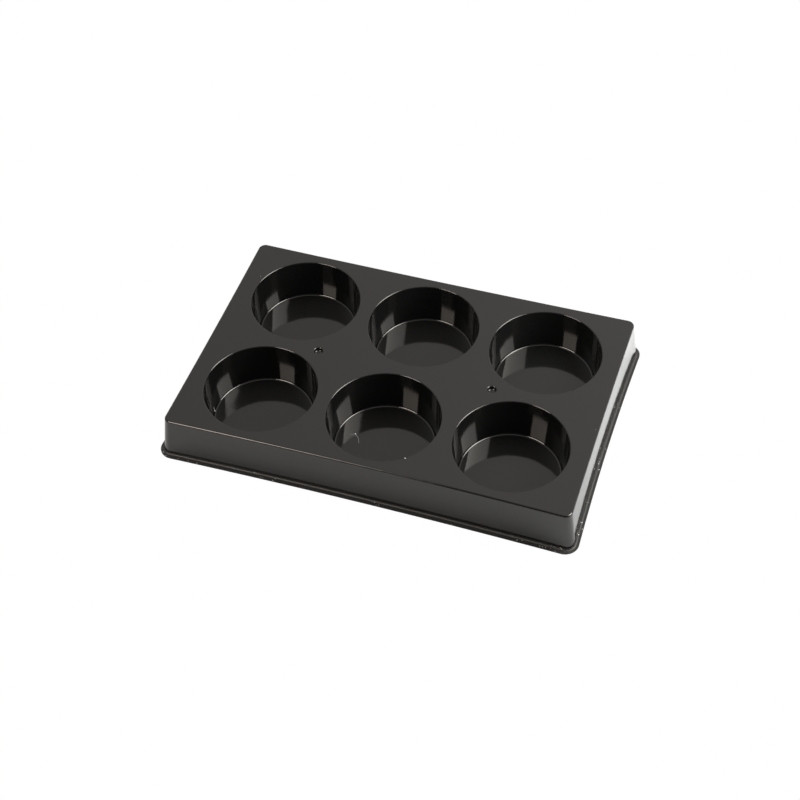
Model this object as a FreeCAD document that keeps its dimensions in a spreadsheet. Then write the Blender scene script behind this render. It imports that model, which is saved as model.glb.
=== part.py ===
"""Six-cup thermoformed tray: one drawn plastic sheet with a raised deck, six round cups, two locating
pips, a drafted skirt and a flat foot flange.

Frame: +Z up, Z = 0 on the underside of the foot flange, origin under the middle of the deck.
X runs along the three cups of a row, Y across the two rows.  Millimetres and degrees.
The sheet keeps one gauge: the skirt and deck are lofted outside and hollowed inside, and each cup
and pip is turned as a skin below the deck and then opened from above.
"""
import FreeCAD, Part
import math
import os

import Sketcher
from FreeCAD import Vector

doc = FreeCAD.newDocument("SixCupTray")

# ---------------------------------------------------------------- driving sizes
SIZES = {
    # the deck, where its flat would meet the skirt with a sharp edge
    "deck_length": 382.8,
    "deck_width": 247.6,
    "deck_corner": 7.0,
    "deck_edge_round": 1.4,
    # the skirt
    "tray_height": 42.4,
    "skirt_draft": 5.5,
    "foot_corner": 8.6,
    "foot_round": 1.8,
    "flange_reach": 4.6,
    "sheet_gauge": 1.0,
    # how far the middle of each side has drawn inwards as the sheet cooled
    "front_bow_deck": 2.5,
    "front_bow_foot": 3.0,
    "back_bow_deck": 1.1,
    "back_bow_foot": 3.0,
    "end_bow_deck": 0.6,
    "end_bow_foot": 2.8,
    # the cups, on one square pitch
    "cup_pitch": 120.0,
    "mouth_radius": 53.9,
    "cup_depth": 39.0,
    "cup_draft": 8.0,
    "rim_round": 1.2,
    "floor_round": 2.0,
    # the locating pips, on the middle line between the two rows of cups
    "pip_pitch": 170.0,
    "pip_radius": 4.8,
    "pip_depth": 2.6,
    "pip_round": 1.6,
    "pip_floor_round": 1.2,
    "pip_draft": 25.0,
}
CUPS_ALONG = 3
CUPS_ACROSS = 2
PIPS = 2

# each round is cut into flats: two on the edges that show most, one elsewhere
EDGE_FLATS = 2
PLAIN_FLATS = 1

sizes = doc.addObject("Spreadsheet::Sheet", "Sizes")
for row, (name, value) in enumerate(SIZES.items(), start=1):
    sizes.set(f"A{row}", name)
    sizes.set(f"B{row}", str(value))
    sizes.setAlias(f"B{row}", name)
doc.recompute()

body = doc.addObject("PartDesign::Body", "Tray")
body.Label = "tray"


def origin_feature(role):
    """The body's own origin plane or axis that has this role."""
    return next(item for item in body.Origin.OriginFeatures if item.Role == role)


def new_sketch(name, plane, shift=None):
    """A sketch on one of the body's origin planes; shift maps x, y, z to offset expressions."""
    sketch = body.newObject("Sketcher::SketchObject", name)
    sketch.AttachmentSupport = [(origin_feature(plane), "")]
    sketch.MapMode = "FlatFace"
    for axis, expression in (shift or {}).items():
        sketch.setExpression(f".AttachmentOffset.Base.{axis}", expression)
    return sketch


def drive(sketch, name, expression, kind, *geometry):
    """Adds a dimension whose value is read from the sheet."""
    index = sketch.addConstraint(Sketcher.Constraint(kind, *geometry, number(expression)))
    sketch.renameConstraint(index, name)
    sketch.setExpression(f"Constraints.{name}", expression)


def number(expression):
    """What an expression on the sheet is worth now, as a plain number (angles in radians)."""
    value = sizes.evalExpression(expression)
    if isinstance(value, FreeCAD.Units.Quantity):
        value = math.radians(value.Value) if value.Unit == FreeCAD.Units.Angle else value.Value
    return float(value)


# ---------------------------------------------------------------- plan outlines
FRONT, RIGHT, BACK, LEFT = range(4)
START, END, CENTRE = 1, 2, 3
ORIGIN_POINT = (-1, 1)
X_AXIS_LINE, Y_AXIS_LINE = -1, -2


def bow_arc(half_span, reach, bow):
    """Radius and centre distance of the arc that dips by bow over two half spans."""
    radius = f"(({half_span})^2 + ({bow})^2) / (2 * ({bow}))"
    return radius, f"({reach}) - ({bow}) + ({radius})"


def add_outline(sketch, tag, half_length, half_width, corner, bows):
    """A rectangle with round corners and gently bowed sides; every size is an expression."""
    first = sketch.GeometryCount
    spans = {FRONT: half_length, RIGHT: half_width, BACK: half_length, LEFT: half_width}
    reaches = {FRONT: half_width, RIGHT: half_length, BACK: half_width, LEFT: half_length}
    outward = {FRONT: Vector(0, -1), RIGHT: Vector(1, 0), BACK: Vector(0, 1), LEFT: Vector(-1, 0)}
    arcs = {side: bow_arc(spans[side], reaches[side], bows[side]) for side in spans}
    radius = {side: number(arcs[side][0]) for side in spans}
    centre = {side: outward[side] * number(arcs[side][1]) for side in spans}
    fillet = number(corner)

    # each corner circle touches the two side circles from outside
    corner_centre = {}
    for side in spans:
        following = (side + 1) % 4
        guess = (outward[side] * (number(reaches[side]) - fillet)
                 + outward[following] * (number(reaches[following]) - fillet))
        for _ in range(20):
            for other in (side, following):
                away = guess - centre[other]
                guess = centre[other] + away * ((radius[other] + fillet) / away.Length)
        corner_centre[side] = guess

    def heading(start, end):
        return math.atan2(end.y - start.y, end.x - start.x)

    for side in spans:
        before, after = corner_centre[(side - 1) % 4], corner_centre[side]
        circle = Part.Circle(centre[side], Vector(0, 0, 1), radius[side])
        sketch.addGeometry(Part.ArcOfCircle(
            circle, heading(centre[side], after), heading(centre[side], before)))
    for side in spans:
        following = (side + 1) % 4
        at = corner_centre[side]
        circle = Part.Circle(at, Vector(0, 0, 1), fillet)
        sketch.addGeometry(Part.ArcOfCircle(
            circle, heading(at, centre[side]), heading(at, centre[following])))

    for side in spans:
        across = side in (FRONT, BACK)
        line = first + side
        sketch.addConstraint(Sketcher.Constraint(
            "PointOnObject", line, CENTRE, Y_AXIS_LINE if across else X_AXIS_LINE))
        ends = [(line, CENTRE), ORIGIN_POINT]
        if side in (RIGHT, BACK):
            ends.reverse()
        drive(sketch, f"{tag}Radius{side}", arcs[side][0], "Radius", line)
        drive(sketch, f"{tag}Centre{side}", arcs[side][1],
              "DistanceY" if across else "DistanceX", *ends[0], *ends[1])
    for side in spans:
        turn = first + 4 + side
        sketch.addConstraint(Sketcher.Constraint("Tangent", first + side, START, turn, START))
        sketch.addConstraint(Sketcher.Constraint(
            "Tangent", first + (side + 1) % 4, END, turn, END))
        if side == FRONT:
            drive(sketch, f"{tag}Corner", corner, "Radius", turn)
        else:
            sketch.addConstraint(Sketcher.Constraint("Equal", first + 4, turn))


SPREAD = "Sizes.tray_height * tan(Sizes.skirt_draft * 1 deg)"
DECK = {
    "half_length": "Sizes.deck_length / 2",
    "half_width": "Sizes.deck_width / 2",
    "corner": "Sizes.deck_corner",
    "bows": {
        FRONT: "Sizes.front_bow_deck",
        RIGHT: "Sizes.end_bow_deck",
        BACK: "Sizes.back_bow_deck",
        LEFT: "Sizes.end_bow_deck",
    },
}
FOOT = {
    "half_length": f"Sizes.deck_length / 2 + {SPREAD}",
    "half_width": f"Sizes.deck_width / 2 + {SPREAD}",
    "corner": "Sizes.foot_corner",
    "bows": {
        FRONT: "Sizes.front_bow_foot",
        RIGHT: "Sizes.end_bow_foot",
        BACK: "Sizes.back_bow_foot",
        LEFT: "Sizes.end_bow_foot",
    },
}


def offset_plan(plan, by):
    """The same plan with every side and corner moved outwards."""
    moved = {key: f"{plan[key]} + {by}" for key in ("half_length", "half_width", "corner")}
    return {**moved, "bows": plan["bows"]}


def check_volume(feature, before, grows):
    """Stops where a feature has changed nothing, or has worked the wrong way."""
    doc.recompute()
    change = feature.Shape.Volume - before
    if change * (1 if grows else -1) <= 1.0:
        raise RuntimeError(f"{feature.Label} changed the volume by {change:.1f} mm3")
    return feature.Shape.Volume


# ---------------------------------------------------------------- flange, skirt and deck
def round_levels(plan, centre_out, centre_height, radius, side, chords):
    """Plan and height of each level of a quarter round, from its upright end to its level end.

    The round's centre stands centre_out beyond the plan's outline.  side is + where the round
    turns over into the deck and - where it flares into the foot.
    """
    levels = []
    for step in range(chords + 1):
        angle = f"{step / chords * 90} deg"
        levels.append((
            offset_plan(plan, f"({centre_out} {side} ({radius}) * cos({angle}))"),
            f"{centre_height} {side} ({radius}) * sin({angle})"))
    return levels


def inner_round(outer):
    """Radius inside the sheet where it turns over an edge; a thick sheet still keeps a small one."""
    return f"max({outer} - Sizes.sheet_gauge; {outer} / 5)"


def skirt_levels(wall_in, foot_round, deck_round, chords):
    """Every level of the skirt from the foot up, on the face that lies wall_in inside the outer one."""
    foot = round_levels(
        FOOT, f"{foot_round} - {wall_in}",
        f"Sizes.sheet_gauge - {wall_in} + {foot_round}", foot_round, "-", chords)
    deck = round_levels(
        DECK, f"-({deck_round}) - {wall_in}",
        f"Sizes.tray_height - {wall_in} - ({deck_round})", deck_round, "+", chords)
    return foot[::-1] + deck


def loft_skirt(kind, name, levels):
    """Joins the skirt's levels by ruled faces."""
    plans = []
    for level_number, (plan, height) in enumerate(levels):
        level = new_sketch(f"{name}Level{level_number}", "XY_Plane", {"z": height})
        add_outline(level, "Plan", **plan)
        plans.append(level)
    doc.recompute()
    loft = body.newObject(f"PartDesign::{kind}", name)
    loft.Profile = plans[0]
    loft.Sections = plans[1:]
    loft.Ruled = True
    body.Tip = loft
    return loft


flange_plan = new_sketch("FlangePlan", "XY_Plane")
add_outline(flange_plan, "Rim", **offset_plan(FOOT, "Sizes.flange_reach"))
flange = body.newObject("PartDesign::Pad", "Flange")
flange.Profile = flange_plan
flange.setExpression("Length", "Sizes.sheet_gauge")
body.Tip = flange
volume = check_volume(flange, 0.0, grows=True)
outer_face = skirt_levels("0", "Sizes.foot_round", "Sizes.deck_edge_round", EDGE_FLATS)
# inside the foot one flat stands opposite two, so its round is smaller to keep the gauge
inner_face = skirt_levels(
    "Sizes.sheet_gauge", "(2 - sqrt(2)) * (Sizes.foot_round + Sizes.sheet_gauge)",
    inner_round("Sizes.deck_edge_round"), PLAIN_FLATS)
volume = check_volume(loft_skirt("AdditiveLoft", "Block", outer_face), volume, grows=True)
volume = check_volume(loft_skirt("SubtractiveLoft", "Hollow", inner_face), volume, grows=False)


# ---------------------------------------------------------------- cups and pips, turned into the deck
def add_chords(sketch, arc, count):
    """Draws equal chords in place of an arc, which stays as a construction line."""
    curve = sketch.Geometry[arc]
    sketch.toggleConstruction(arc)
    span = (curve.LastParameter - curve.FirstParameter) / count
    points = [curve.value(curve.FirstParameter + span * step) for step in range(count + 1)]
    chords = [sketch.addGeometry(Part.LineSegment(*ends)) for ends in zip(points, points[1:])]
    sketch.addConstraint(Sketcher.Constraint("Coincident", chords[0], START, arc, START))
    sketch.addConstraint(Sketcher.Constraint("Coincident", chords[-1], END, arc, END))
    for chord, following in zip(chords, chords[1:]):
        sketch.addConstraint(Sketcher.Constraint("Coincident", chord, END, following, START))
        sketch.addConstraint(Sketcher.Constraint("PointOnObject", chord, END, arc))
        sketch.addConstraint(Sketcher.Constraint("Equal", chords[0], following))


def add_pocket_profile(sketch, top, mouth, depth, draft, rim, floor_round, lid, rim_flats):
    """Half section of a round pocket: flat floor, floor round, drafted wall, rim round, open above.

    mouth is the radius at which the rim round runs out into the level face at top.
    """
    slope = number(f"{draft} * 1 deg")
    height, radius = number(top), number(mouth)
    bottom = height - number(depth)
    rim_size, round_size, rise = number(rim), number(floor_round), number(lid)
    wall = Vector(math.sin(slope), math.cos(slope))
    into_material = Vector(math.cos(slope), -math.sin(slope))
    rim_centre = Vector(radius, height - rim_size)
    wall_top = rim_centre - into_material * rim_size
    run = (wall_top.y - bottom - round_size * (1 - math.sin(slope))) / wall.y
    wall_foot = wall_top - wall * run
    round_centre = wall_foot - into_material * round_size
    edge, cover = Vector(radius, height), Vector(radius, height + rise)
    up = Vector(0, 0, 1)

    axis_line = sketch.addGeometry(Part.LineSegment(Vector(0, cover.y), Vector(0, bottom)))
    floor_line = sketch.addGeometry(Part.LineSegment(
        Vector(0, bottom), Vector(round_centre.x, bottom)))
    floor_arc = sketch.addGeometry(Part.ArcOfCircle(
        Part.Circle(round_centre, up, round_size), -math.pi / 2, -slope))
    wall_line = sketch.addGeometry(Part.LineSegment(wall_foot, wall_top))
    rim_arc = sketch.addGeometry(Part.ArcOfCircle(
        Part.Circle(rim_centre, up, rim_size), math.pi / 2, math.pi - slope))
    side_line = sketch.addGeometry(Part.LineSegment(edge, cover))
    lid_line = sketch.addGeometry(Part.LineSegment(cover, Vector(0, cover.y)))

    rules = (
        ("PointOnObject", axis_line, START, Y_AXIS_LINE),
        ("Vertical", axis_line),
        ("Horizontal", floor_line),
        ("Coincident", axis_line, END, floor_line, START),
        ("Tangent", floor_line, END, floor_arc, START),
        ("Tangent", floor_arc, END, wall_line, START),
        ("Tangent", wall_line, END, rim_arc, END),
        ("Vertical", rim_arc, CENTRE, rim_arc, START),
        ("Coincident", rim_arc, START, side_line, START),
        ("Vertical", side_line),
        ("Coincident", side_line, END, lid_line, START),
        ("Horizontal", lid_line),
        ("Coincident", lid_line, END, axis_line, START),
    )
    for rule in rules:
        sketch.addConstraint(Sketcher.Constraint(*rule))
    drive(sketch, "Mouth", mouth, "DistanceX", *ORIGIN_POINT, rim_arc, START)
    drive(sketch, "Top", top, "DistanceY", *ORIGIN_POINT, rim_arc, START)
    drive(sketch, "Depth", depth, "DistanceY", floor_line, START, rim_arc, START)
    drive(sketch, "RimRound", rim, "Radius", rim_arc)
    drive(sketch, "FloorRound", floor_round, "Radius", floor_arc)
    drive(sketch, "Lid", lid, "DistanceY", side_line, START, side_line, END)
    drive(sketch, "Draft", f"90 deg - {draft} * 1 deg", "Angle", X_AXIS_LINE, wall_line)
    add_chords(sketch, floor_arc, PLAIN_FLATS)
    add_chords(sketch, rim_arc, rim_flats)


def repeat_on_pitch(feature, pitch, along, across):
    """Repeats a turned feature on a square pitch."""
    pattern = body.newObject("PartDesign::LinearPattern", f"{feature.Label}Grid")
    pattern.Originals = [feature]
    pattern.Direction = (origin_feature("X_Axis"), [""])
    pattern.Occurrences = along
    pattern.setExpression("Length", f"{pitch} * {along - 1}")
    pattern.Direction2 = (origin_feature("Y_Axis"), [""])
    pattern.Occurrences2 = across
    pattern.setExpression("Length2", f"{pitch} * {max(across - 1, 1)}")
    body.Tip = pattern
    return pattern


def turn(kind, name, sketch, pitch, along, across, volume):
    """Turns a section about its own upright axis, on the whole grid; returns the body's volume."""
    feature = body.newObject(f"PartDesign::{kind}", name)
    feature.Profile = sketch
    feature.ReferenceAxis = (sketch, ["V_Axis"])
    feature.Angle = 360
    body.Tip = feature
    grows = kind == "Revolution"
    volume = check_volume(feature, volume, grows)
    return check_volume(repeat_on_pitch(feature, pitch, along, across), volume, grows)


def form_pockets(name, sizes_of, along, across, volume):
    """One kind of formed pocket: its outside is added below the deck, its inside cut from above."""
    pitch = sizes_of["pitch"]
    shift = {"x": f"-{pitch} * {(along - 1) / 2}", "z": f"{pitch} * {(across - 1) / 2}"}
    outside = new_sketch(f"{name}Outside", "XZ_Plane", shift)
    add_pocket_profile(
        outside, "Sizes.tray_height - Sizes.sheet_gauge", sizes_of["mouth"], sizes_of["depth"],
        sizes_of["draft"], inner_round(sizes_of["rim"]),
        f"{sizes_of['floor']} + (2 - sqrt(2)) * Sizes.sheet_gauge", "Sizes.sheet_gauge / 2",
        PLAIN_FLATS)
    volume = turn("Revolution", f"{name}Skin", outside, pitch, along, across, volume)
    inside = new_sketch(f"{name}Inside", "XZ_Plane", shift)
    add_pocket_profile(
        inside, "Sizes.tray_height", sizes_of["mouth"], sizes_of["depth"], sizes_of["draft"],
        sizes_of["rim"], sizes_of["floor"], "Sizes.sheet_gauge", sizes_of["rim_flats"])
    return turn("Groove", name, inside, pitch, along, across, volume)


CUP = {
    "pitch": "Sizes.cup_pitch",
    "mouth": "Sizes.mouth_radius",
    "depth": "Sizes.cup_depth",
    "draft": "Sizes.cup_draft",
    "rim": "Sizes.rim_round",
    "floor": "Sizes.floor_round",
    "rim_flats": EDGE_FLATS,
}
PIP = {
    "pitch": "Sizes.pip_pitch",
    "mouth": "Sizes.pip_radius",
    "depth": "Sizes.pip_depth",
    "draft": "Sizes.pip_draft",
    "rim": "Sizes.pip_round",
    "floor": "Sizes.pip_floor_round",
    "rim_flats": PLAIN_FLATS,
}
volume = form_pockets("Cup", CUP, CUPS_ALONG, CUPS_ACROSS, volume)
volume = form_pockets("Pip", PIP, PIPS, 1, volume)

# ---------------------------------------------------------------- checks and file
doc.recompute()
for item in doc.Objects:
    if {"Invalid", "Error"} & set(item.State):
        raise RuntimeError(f"{item.Label} failed: {item.State}")
if body.Shape.isNull() or not body.Shape.isValid() or len(body.Shape.Solids) != 1:
    raise RuntimeError("the tray isn't one valid solid")
os.makedirs("parts", exist_ok=True)
body.Shape.exportStep(f"parts/{body.Label}.step")
print(f"{body.Label}: {body.Shape.Volume:.0f} mm3, {len(body.Shape.Faces)} faces")
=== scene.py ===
import math

import bmesh
import bpy
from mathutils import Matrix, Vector


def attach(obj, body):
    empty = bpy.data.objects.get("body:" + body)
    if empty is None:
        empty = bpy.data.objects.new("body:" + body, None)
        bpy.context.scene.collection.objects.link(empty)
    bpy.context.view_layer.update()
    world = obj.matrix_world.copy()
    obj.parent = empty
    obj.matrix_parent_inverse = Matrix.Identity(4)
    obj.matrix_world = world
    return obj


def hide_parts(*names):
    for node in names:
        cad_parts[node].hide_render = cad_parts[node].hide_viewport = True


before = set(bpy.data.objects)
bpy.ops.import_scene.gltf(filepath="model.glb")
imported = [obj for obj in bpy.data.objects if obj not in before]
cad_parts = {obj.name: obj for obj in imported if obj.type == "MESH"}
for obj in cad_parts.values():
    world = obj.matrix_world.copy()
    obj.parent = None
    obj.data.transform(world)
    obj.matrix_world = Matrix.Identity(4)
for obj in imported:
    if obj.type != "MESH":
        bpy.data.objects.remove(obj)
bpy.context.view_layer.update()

# ---------------------------------------------------------------- sizes of the tray, in metres
MM = 0.001
DECK_LENGTH, DECK_WIDTH, DECK_CORNER = 382.8 * MM, 247.6 * MM, 7.0 * MM
HEIGHT, DRAFT, GAUGE = 42.4 * MM, math.radians(5.5), 1.0 * MM
FOOT_CORNER, FLANGE_REACH = 8.6 * MM, 4.6 * MM
DECK_ROUND, FOOT_ROUND = 2.0 * MM, 1.8 * MM
END_LEAN = 0.9 * MM  # the ends lean out this much more at the foot than the long sides
# how far the front, right, back and left sides draw in at their middle
DECK_BOWS = (2.5 * MM, 0.6 * MM, 1.1 * MM, 0.6 * MM)
FOOT_BOWS = (3.0 * MM, 2.8 * MM, 3.0 * MM, 2.8 * MM)
CUP_PITCH, PIP_PITCH = 120.0 * MM, 170.0 * MM
# a pocket's mouth radius, depth, rim round and floor round in millimetres, and its draft in degrees
CUP = {"mouth": 53.9, "depth": 39.0, "draft": 8.0, "rim": 1.2, "floor": 2.0}
PIP = {"mouth": 5.2, "depth": 3.4, "draft": 15.0, "rim": 1.2, "floor": 1.6}
CUP_PLACES = [(x * CUP_PITCH, y * CUP_PITCH / 2) for y in (-1, 1) for x in (-1, 0, 1)]
PIP_PLACES = [(x * PIP_PITCH / 2, 0.0) for x in (-1, 1)]
SPREAD = HEIGHT * math.tan(DRAFT)  # how much further out the foot is than the deck

# how finely the mesh follows each form
SIDE_STEPS, CORNER_STEPS = 40, 14
ROUND_STEPS, FLOOR_ROUND_STEPS = 8, 12
SKIRT_STEPS, WALL_STEPS = 6, 5
CUP_TURNS, CUP_TURNS_BENEATH = 144, 96
PIP_TURNS, PIP_TURNS_BENEATH = 48, 32
SETTLING_ROUNDS = 20  # passes that settle a corner's centre between two bowed sides
LEAST_ROUND = 0.2  # share of a round that is left on the sheet's inner face at least


# ---------------------------------------------------------------- plan outlines
def outline(half_length, half_width, corner, bows):
    """Points and outward normals round a rectangle with bowed sides and round corners."""
    outward = [Vector((0, -1)), Vector((1, 0)), Vector((0, 1)), Vector((-1, 0))]
    spans = [half_length, half_width, half_length, half_width]
    reaches = [half_width, half_length, half_width, half_length]
    radii = [(s * s + b * b) / (2 * b) for s, b in zip(spans, bows)]
    centres = [o * (r - b + q) for o, r, b, q in zip(outward, reaches, bows, radii)]
    corners = []
    for side in range(4):
        following = (side + 1) % 4
        guess = outward[side] * (reaches[side] - corner) + outward[following] * (reaches[following] - corner)
        for _ in range(SETTLING_ROUNDS):
            for other in (side, following):
                away = guess - centres[other]
                guess = centres[other] + away * ((radii[other] + corner) / away.length)
        corners.append(guess)
    ring = []
    for side in range(4):
        before, after = corners[side - 1], corners[side]
        start = (before - centres[side]).normalized()
        end = (after - centres[side]).normalized()
        turn = start.angle_signed(end)
        for step in range(SIDE_STEPS):
            angle = turn * step / SIDE_STEPS
            ray = Vector((start.x * math.cos(angle) + start.y * math.sin(angle),
                          -start.x * math.sin(angle) + start.y * math.cos(angle)))
            ring.append((centres[side] + ray * radii[side], -ray))
        first = -end
        following = (side + 1) % 4
        last = (centres[following] - after).normalized()
        sweep = first.angle_signed(last)
        for step in range(CORNER_STEPS):
            angle = sweep * step / CORNER_STEPS
            ray = Vector((first.x * math.cos(angle) + first.y * math.sin(angle),
                          -first.x * math.sin(angle) + first.y * math.cos(angle)))
            ring.append((after + ray * corner, ray))
    return ring


def skirt_profile(skin):
    """Rings of the skirt from the deck's edge to the flange's top face, skin inside the outer face."""
    deck = outline(DECK_LENGTH / 2 - skin, DECK_WIDTH / 2 - skin, DECK_CORNER - skin, DECK_BOWS)
    foot = outline(DECK_LENGTH / 2 + SPREAD + END_LEAN - skin, DECK_WIDTH / 2 + SPREAD - skin,
                   FOOT_CORNER - skin, FOOT_BOWS)
    top, base = HEIGHT - skin, GAUGE - skin
    deck_round, foot_round = max(DECK_ROUND - skin, DECK_ROUND * LEAST_ROUND), FOOT_ROUND + skin
    columns = []
    for (upper, upper_out), (lower, lower_out) in zip(deck, foot):
        tilt = math.atan2((lower - upper).dot(upper_out), top - base)
        column = []
        inset = deck_round * math.tan((math.pi / 2 - tilt) / 2)
        centre = upper - upper_out * inset
        for step in range(ROUND_STEPS + 1):
            angle = math.pi / 2 + (tilt - math.pi / 2) * step / ROUND_STEPS
            place = centre + upper_out * (deck_round * math.cos(angle))
            column.append((Vector((*place, top - deck_round + deck_round * math.sin(angle))),
                           Vector((*(upper_out * math.cos(angle)), math.sin(angle)))))
        inset = foot_round * math.tan((math.pi / 2 - tilt) / 2)
        centre = lower + lower_out * inset
        low_arc = []
        for step in range(ROUND_STEPS + 1):
            angle = tilt + (math.pi / 2 - tilt) * step / ROUND_STEPS
            place = centre - lower_out * (foot_round * math.cos(angle))
            low_arc.append((Vector((*place, base + foot_round - foot_round * math.sin(angle))),
                            Vector((*(lower_out * math.cos(angle)), math.sin(angle)))))
        high_point, high_normal = column[-1]
        low_point, low_normal = low_arc[0]
        for step in range(1, SKIRT_STEPS):
            share = step / SKIRT_STEPS
            column.append((high_point.lerp(low_point, share),
                           high_normal.lerp(low_normal, share).normalized()))
        columns.append(column + low_arc)
    return list(zip(*columns))


def pocket_profile(size, skin):
    """Radius, height and normal down one side of a round pocket, from its rim to its flat floor."""
    rim = max(size["rim"] * MM - skin, size["rim"] * MM * LEAST_ROUND)
    floor = size["floor"] * MM + skin
    draft, mouth = math.radians(size["draft"]), size["mouth"] * MM
    top = HEIGHT - skin
    bottom = top - size["depth"] * MM
    points = []
    for step in range(ROUND_STEPS + 1):
        angle = math.pi / 2 + (math.pi / 2 - draft) * step / ROUND_STEPS
        points.append((mouth + rim * math.cos(angle), top - rim + rim * math.sin(angle),
                       math.cos(angle), math.sin(angle)))
    wall_top = Vector(points[-1][:2])
    down = Vector((-math.sin(draft), -math.cos(draft)))
    drop = (wall_top.y - bottom - floor * (1 - math.sin(draft))) / -down.y
    wall_foot = wall_top + down * drop
    for step in range(1, WALL_STEPS):
        place = wall_top.lerp(wall_foot, step / WALL_STEPS)
        points.append((place.x, place.y, -math.cos(draft), math.sin(draft)))
    centre = wall_foot - Vector((math.cos(draft), -math.sin(draft))) * floor
    for step in range(FLOOR_ROUND_STEPS + 1):
        angle = -draft + (-math.pi / 2 + draft) * step / FLOOR_ROUND_STEPS
        points.append((centre.x + floor * math.cos(angle), centre.y + floor * math.sin(angle),
                       -math.cos(angle), -math.sin(angle)))
    return points


# ---------------------------------------------------------------- the sheet as one mesh
WALL_FINISH, SHADED_FLOOR_SLOT = 0, 1  # material slots; the second holds the pockets' floors, darkened with painted shade


class Sheet:
    """Collects faces with the exact normal of the true surface at each corner."""

    def __init__(self):
        self.mesh = bmesh.new()
        self.normals = {}

    def ring(self, places):
        """One vertex at each place."""
        return [self.mesh.verts.new(place) for place in places]

    def strip(self, upper, lower, upper_normals, lower_normals, flip=False):
        """A closed band of faces between two rings."""
        count = len(upper)
        for i in range(count):
            j = (i + 1) % count
            corners = [upper[i], lower[i], lower[j], upper[j]]
            normals = [upper_normals[i], lower_normals[i], lower_normals[j], upper_normals[j]]
            if flip:
                corners.reverse()
                normals.reverse()
            self.normals[self.mesh.faces.new(corners)] = normals

    def fill(self, loops, normal, finish=WALL_FINISH):
        """A flat face bounded by one loop, with a hole for each further loop."""
        edges = []
        for loop in loops:
            for i, vert in enumerate(loop):
                following = loop[(i + 1) % len(loop)]
                edge = self.mesh.edges.get((vert, following))
                edges.append(edge or self.mesh.edges.new((vert, following)))
        made = bmesh.ops.triangle_fill(
            self.mesh, edges=edges, use_beauty=True, use_dissolve=False, normal=normal)
        for face in made["geom"]:
            if isinstance(face, bmesh.types.BMFace):
                if face.normal.dot(normal) < 0:
                    face.normal_flip()
                face.material_index = finish
                self.normals[face] = [normal] * len(face.verts)

    def pocket(self, place, size, skin, turns):
        """Adds one pocket and returns the loop of its mouth."""
        turn = [(math.cos(2 * math.pi * k / turns), math.sin(2 * math.pi * k / turns))
                for k in range(turns)]
        rings, normals = [], []
        face = -1.0 if skin else 1.0
        for radius, height, out, up in pocket_profile(size, skin):
            rings.append(self.ring([(place[0] + radius * c, place[1] + radius * s, height)
                                    for c, s in turn]))
            normals.append([Vector((out * c, out * s, up)) * face for c, s in turn])
        for k in range(len(rings) - 1):
            self.strip(rings[k], rings[k + 1], normals[k], normals[k + 1], flip=not skin)
        # the floor takes the second slot, whose copy of the plastic reflects less: painted shade
        self.fill([rings[-1]], Vector((0, 0, face)), finish=SHADED_FLOOR_SLOT)
        return rings[0]

    def finish(self, name):
        """The mesh as an object, with its normals set."""
        self.mesh.faces.ensure_lookup_table()
        self.mesh.verts.index_update()
        self.mesh.faces.index_update()
        loops = []
        for face in self.mesh.faces:
            loops.extend(self.normals[face])
        data = bpy.data.meshes.new(name)
        self.mesh.to_mesh(data)
        self.mesh.free()
        for polygon in data.polygons:
            polygon.use_smooth = True
        data.normals_split_custom_set([tuple(n.normalized()) for n in loops])
        made = bpy.data.objects.new(name, data)
        bpy.context.scene.collection.objects.link(made)
        return made


sheet = Sheet()
up, down = Vector((0, 0, 1)), Vector((0, 0, -1))
flange_rim = outline(DECK_LENGTH / 2 + SPREAD + FLANGE_REACH, DECK_WIDTH / 2 + SPREAD + FLANGE_REACH,
                     FOOT_CORNER + FLANGE_REACH, FOOT_BOWS)
rim_out = [Vector((*normal, 0)) for _, normal in flange_rim]

# outer face: skirt, flange top, flange edge
rows = skirt_profile(0.0)
rings = [sheet.ring([place for place, _ in row]) for row in rows]
for k in range(len(rings) - 1):
    sheet.strip(rings[k], rings[k + 1], [n for _, n in rows[k]], [n for _, n in rows[k + 1]])
flat_up, flat_down = [up] * len(rings[0]), [down] * len(rings[0])
rim_top = sheet.ring([(*place, GAUGE) for place, _ in flange_rim])
rim_base = sheet.ring([(*place, 0.0) for place, _ in flange_rim])
sheet.strip(rings[-1], rim_top, flat_up, flat_up)
sheet.strip(rim_top, rim_base, rim_out, rim_out)
mouths = [sheet.pocket(place, CUP, 0.0, CUP_TURNS) for place in CUP_PLACES]
mouths += [sheet.pocket(place, PIP, 0.0, PIP_TURNS) for place in PIP_PLACES]
sheet.fill([rings[0]] + mouths, up)

# underside: the same forms, one gauge inside
under_rows = skirt_profile(GAUGE)
under_rings = [sheet.ring([place for place, _ in row]) for row in under_rows]
for k in range(len(under_rings) - 1):
    sheet.strip(under_rings[k], under_rings[k + 1], [-n for _, n in under_rows[k]],
                [-n for _, n in under_rows[k + 1]], flip=True)
sheet.strip(rim_base, under_rings[-1], flat_down, flat_down)
under_mouths = [sheet.pocket(place, CUP, GAUGE, CUP_TURNS_BENEATH) for place in CUP_PLACES]
under_mouths += [sheet.pocket(place, PIP, GAUGE, PIP_TURNS_BENEATH) for place in PIP_PLACES]
sheet.fill([under_rings[0]] + under_mouths, down)
tray = sheet.finish("tray_sheet")


# ---------------------------------------------------------------- black plastic, with dust and scuffs
def node(tree, kind, links=None, **values):
    """A shader node with its input values set and its inputs linked."""
    made = tree.nodes.new(kind)
    for name, value in values.items():
        setattr(made, name, value)
    for key, source in (links or {}).items():
        if isinstance(source, bpy.types.NodeSocket):
            tree.links.new(source, made.inputs[key])
        else:
            made.inputs[key].default_value = source
    return made


def maths(tree, operation, *values):
    """One arithmetic node; each value is a number or another node's output."""
    return node(tree, "ShaderNodeMath", dict(enumerate(values)), operation=operation).outputs["Value"]


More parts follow.
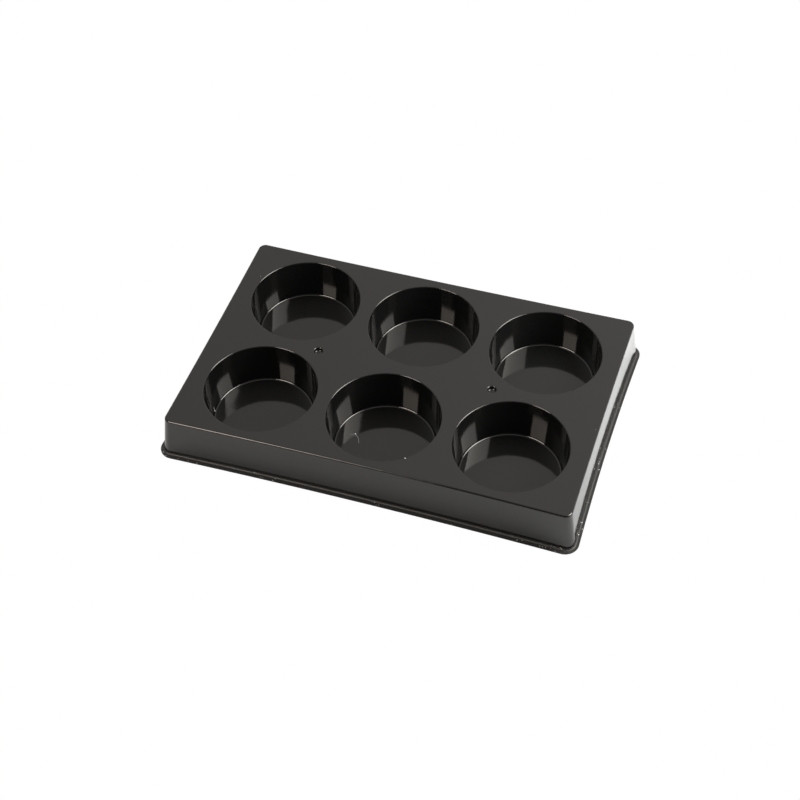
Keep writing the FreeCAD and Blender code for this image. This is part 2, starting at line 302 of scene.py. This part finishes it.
def within(tree, value, low, high):
    """1 where a value lies between low and high, else 0."""
    over = maths(tree, "GREATER_THAN", value, low)
    under = maths(tree, "LESS_THAN", value, high)
    return maths(tree, "MULTIPLY", over, under)


def specks(tree, place, per_metre, radius, kept):
    """Round specks, one in each cell of a random grid, of which a share is kept."""
    cells = node(tree, "ShaderNodeTexVoronoi", {"Vector": place, "Scale": per_metre})
    near = maths(tree, "LESS_THAN", cells.outputs["Distance"], radius * per_metre)
    chance = node(tree, "ShaderNodeSeparateXYZ", {0: cells.outputs["Color"]})
    chosen = maths(tree, "LESS_THAN", chance.outputs["X"], kept)
    return maths(tree, "MULTIPLY", near, chosen)


def strand(tree, x, y, start, end, width):
    """1 along a fine straight strand of lint that lies on a level face."""
    run = Vector(end) - Vector(start)
    length = run.length
    run = run / length
    from_x = maths(tree, "SUBTRACT", x, start[0])
    from_y = maths(tree, "SUBTRACT", y, start[1])
    along = maths(tree, "MULTIPLY_ADD", from_x, run.x, maths(tree, "MULTIPLY", from_y, run.y))
    off = maths(tree, "MULTIPLY_ADD", from_x, -run.y, maths(tree, "MULTIPLY", from_y, run.x))
    thin = maths(tree, "LESS_THAN", maths(tree, "ABSOLUTE", off), width / 2)
    return maths(tree, "MULTIPLY", thin, within(tree, along, 0.0, length))


def either(tree, masks):
    """The largest of several masks."""
    total = masks[0]
    for mask in masks[1:]:
        total = maths(tree, "MAXIMUM", total, mask)
    return total


# where lint and specks lie, in plan and in metres: start, end and width of a strand, centre and radius
# of a speck
LINT = (((-0.0352, -0.0581), (-0.0300, -0.0566), 0.35 * MM),
        ((-0.0300, -0.0566), (-0.0262, -0.0601), 0.35 * MM),
        ((-0.0262, -0.0601), (-0.0236, -0.0655), 0.30 * MM))
SPECKS = (((0.0340, -0.1012), 0.62 * MM), ((-0.1667, -0.0684), 0.70 * MM), ((-0.0300, -0.0560), 0.60 * MM))
LINT_STRENGTH, DUST_STRENGTH = 0.35, 0.8
FLOOR_BAND = (2.9 * MM, 6.5 * MM)  # heights that hold the upper face of the cups' floors
FOOT_TOP = 3.2 * MM  # the foot is all that lies below this, near the outline
FOOT_HALF_LENGTH, FOOT_HALF_WIDTH = 190.0 * MM, 122.5 * MM
# random dust: cells per metre, radius of a speck, share of the cells that hold one
FOOT_DUST = (420.0, 0.46 * MM, 0.42)
FINE_DUST = (80.0, 0.22 * MM, 0.16)
PATCHES_PER_METRE, PATCH_SHARE = 14.0, 0.52  # the dust on the foot lies in patches
PLASTIC_COLOUR = (0.0072, 0.0069, 0.0066, 1.0)
DUST_COLOUR = (0.70, 0.69, 0.67, 1.0)
SMOOTH, FOOT_SCUFF, DUST_ROUGH = 0.075, 0.42, 0.4  # roughness, and what the foot and dust add to it
PLASTIC_IOR = 1.52
SWELLS_PER_METRE, SWELL_HEIGHT = 26.0, 0.22 * MM  # the sheet isn't perfectly even after forming
WALL_SHINE, SHADED_FLOOR_SHINE = 0.48, 0.40  # the pockets' floors reflect less than the rest of the sheet: painted shade that darkens the floors of the cups and pips


def black_plastic(name, shine):
    """Black glossy sheet with lint in one cup, a few specks, and dust along the foot."""
    made = bpy.data.materials.new(name)
    made.use_nodes = True
    tree = made.node_tree
    shader = tree.nodes["Principled BSDF"]
    place = node(tree, "ShaderNodeTexCoord").outputs["Object"]
    split = node(tree, "ShaderNodeSeparateXYZ", {0: place})
    x, y, z = split.outputs["X"], split.outputs["Y"], split.outputs["Z"]

    on_floor = within(tree, z, *FLOOR_BAND)
    lint = either(tree, [strand(tree, x, y, *ends) for ends in LINT])
    lint = maths(tree, "MULTIPLY", maths(tree, "MULTIPLY", lint, on_floor), LINT_STRENGTH)
    in_plan = node(tree, "ShaderNodeCombineXYZ", {0: x, 1: y}).outputs[0]
    spots = []
    for centre, radius in SPECKS:
        away = node(tree, "ShaderNodeVectorMath", {0: in_plan, 1: (*centre, 0.0)}, operation="DISTANCE")
        spots.append(maths(tree, "LESS_THAN", away.outputs["Value"], radius))

    low = maths(tree, "LESS_THAN", z, FOOT_TOP)
    along = maths(tree, "GREATER_THAN", maths(tree, "ABSOLUTE", y), FOOT_HALF_WIDTH)
    across = maths(tree, "GREATER_THAN", maths(tree, "ABSOLUTE", x), FOOT_HALF_LENGTH)
    foot = maths(tree, "MULTIPLY", low, maths(tree, "MAXIMUM", along, across))
    patchy = node(tree, "ShaderNodeTexNoise", {"Vector": place, "Scale": PATCHES_PER_METRE, "Detail": 1.0})
    dusty = maths(tree, "GREATER_THAN", patchy.outputs["Fac"], PATCH_SHARE)
    foot_dust = maths(tree, "MULTIPLY", maths(tree, "MULTIPLY", foot, dusty),
                      specks(tree, place, *FOOT_DUST))
    fine_dust = specks(tree, place, *FINE_DUST)
    dirt = either(tree, [lint, foot_dust, fine_dust] + spots)

    colour = node(tree, "ShaderNodeMixRGB", {
        "Fac": maths(tree, "MULTIPLY", dirt, DUST_STRENGTH), "Color1": PLASTIC_COLOUR, "Color2": DUST_COLOUR})
    tree.links.new(colour.outputs["Color"], shader.inputs["Base Color"])
    scuffed = maths(tree, "MULTIPLY_ADD", foot, FOOT_SCUFF, SMOOTH)
    tree.links.new(maths(tree, "MULTIPLY_ADD", dirt, DUST_ROUGH, scuffed), shader.inputs["Roughness"])
    shader.inputs["Specular IOR Level"].default_value = shine
    shader.inputs["IOR"].default_value = PLASTIC_IOR
    swell = node(tree, "ShaderNodeTexNoise", {"Vector": place, "Scale": SWELLS_PER_METRE, "Detail": 1.5})
    uneven = node(tree, "ShaderNodeBump", {
        "Height": swell.outputs["Fac"], "Distance": SWELL_HEIGHT, "Strength": 1.0})
    tree.links.new(uneven.outputs["Normal"], shader.inputs["Normal"])
    return made


tray.data.materials.append(black_plastic("black_plastic", WALL_SHINE))
# the copy on the pockets' floors reflects less: painted shade that darkens them
tray.data.materials.append(black_plastic("black_plastic_painted_shade", SHADED_FLOOR_SHINE))
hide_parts("tray")
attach(tray, "root")

# ---------------------------------------------------------------- floor, light and background
FLOOR_HALF, FLOOR_DROP = 6.0, 0.2 * MM
PAPER_COLOUR = (0.77, 0.76, 0.74, 1.0)
WHITE = (1.0, 1.0, 1.0, 1.0)
floor_mesh = bpy.data.meshes.new("floor")
floor_mesh.from_pydata([(x * FLOOR_HALF, y * FLOOR_HALF, 0) for x, y in ((-1, -1), (1, -1), (1, 1), (-1, 1))],
                       [], [(0, 1, 2, 3)])
floor = bpy.data.objects.new("floor", floor_mesh)
bpy.context.scene.collection.objects.link(floor)
floor.location = (0, 0, -FLOOR_DROP)
paper = bpy.data.materials.new("white_paper")
paper.use_nodes = True
tree = paper.node_tree
matte = tree.nodes["Principled BSDF"]
matte.inputs["Base Color"].default_value = PAPER_COLOUR
matte.inputs["Roughness"].default_value = 1.0
matte.inputs["Specular IOR Level"].default_value = 0.0
# the paper is matte to every ray but the camera's, which sees plain white
white = node(tree, "ShaderNodeEmission", {"Color": WHITE, "Strength": 1.0})
rays = node(tree, "ShaderNodeLightPath")
choice = node(tree, "ShaderNodeMixShader", {
    0: rays.outputs["Is Camera Ray"], 1: matte.outputs["BSDF"], 2: white.outputs["Emission"]})
tree.links.new(choice.outputs["Shader"], tree.nodes["Material Output"].inputs["Surface"])
floor_mesh.materials.append(paper)

# the studio is white behind and above the tray, dim in front of it, where the camera stands, and a
# little dimmer to the left; the camera itself sees it white
FRONT_TO_BACK = {"From Min": -0.45, "From Max": 0.1, "To Min": 0.13, "To Max": 0.885}
LEFT_TO_RIGHT = {"From Min": -0.42, "From Max": -0.15, "To Min": 0.78, "To Max": 1.0}
WARM_WHITE = (1.0, 0.975, 0.925, 1.0)
world = bpy.data.worlds.new("studio")
world.use_nodes = True
tree = world.node_tree
sky = tree.nodes["Background"]
direction = node(tree, "ShaderNodeSeparateXYZ", {0: node(tree, "ShaderNodeTexCoord").outputs["Generated"]})
backward = node(tree, "ShaderNodeMapRange", {"Value": direction.outputs["Y"], **FRONT_TO_BACK},
                interpolation_type="SMOOTHSTEP")
rightward = node(tree, "ShaderNodeMapRange", {"Value": direction.outputs["X"], **LEFT_TO_RIGHT})
rays = node(tree, "ShaderNodeLightPath")
level = maths(tree, "MULTIPLY", backward.outputs["Result"], rightward.outputs["Result"])
level = maths(tree, "MAXIMUM", level, rays.outputs["Is Camera Ray"])
tree.links.new(level, sky.inputs["Strength"])
tint = node(tree, "ShaderNodeMixRGB", {
    "Fac": rays.outputs["Is Camera Ray"], "Color1": WARM_WHITE, "Color2": WHITE})
tree.links.new(tint.outputs["Color"], sky.inputs["Color"])
bpy.context.scene.world = world


def lamp(name, azimuth, elevation, distance, size, power, colour=WHITE[:3], target=(0.0, 0.0, 0.0)):
    """A soft panel that faces its target; azimuth runs from +X towards +Y, and both angles are in degrees."""
    light = bpy.data.lights.new(name, "AREA")
    light.shape = "RECTANGLE"
    light.size, light.size_y = size
    light.energy = power
    light.color = colour
    made = bpy.data.objects.new(name, light)
    bpy.context.scene.collection.objects.link(made)
    a, e = math.radians(azimuth), math.radians(elevation)
    made.location = Vector((math.cos(a) * math.cos(e), math.sin(a) * math.cos(e), math.sin(e))) * distance
    made.rotation_euler = (Vector(target) - made.location).to_track_quat("-Z", "Y").to_euler()
    return made


# two bright panels that only the gloss shows
for panel in (lamp("right_panel", 15.0, 46.0, 2.0, (1.15, 1.4), 66.0, (1.0, 0.95, 0.88)),
              lamp("front_panel", 234.5, 40.0, 2.0, (0.92, 0.95), 31.0, (1.0, 0.88, 0.77))):
    panel.visible_diffuse = False
# two lamps that light the paper round the tray and don't show in the gloss
for soft in (lamp("key", 155.0, 64.0, 1.5, (1.2, 1.2), 23.0),
             lamp("floor_wash", 16.0, 27.0, 0.48, (0.35, 0.25), 2.7, (0.94, 0.98, 1.0), (0.22, 0.0, 0.0))):
    soft.visible_glossy = False

# ---------------------------------------------------------------- camera
CAMERA_PLACE = (0.35391, -0.99457, 1.17781)
CAMERA_TURN = (41.8659, 1.4713, 18.2118)  # degrees about X, Y and Z
LENS, SENSOR = 74.92, 36.0  # millimetres
lens = bpy.data.cameras.new("camera")
lens.sensor_width = SENSOR
lens.lens = LENS
camera = bpy.data.objects.new("camera", lens)
camera.location = CAMERA_PLACE
camera.rotation_euler = [math.radians(angle) for angle in CAMERA_TURN]
bpy.context.scene.collection.objects.link(camera)
bpy.context.scene.camera = camera
bpy.context.scene.view_settings.view_transform = "Standard"
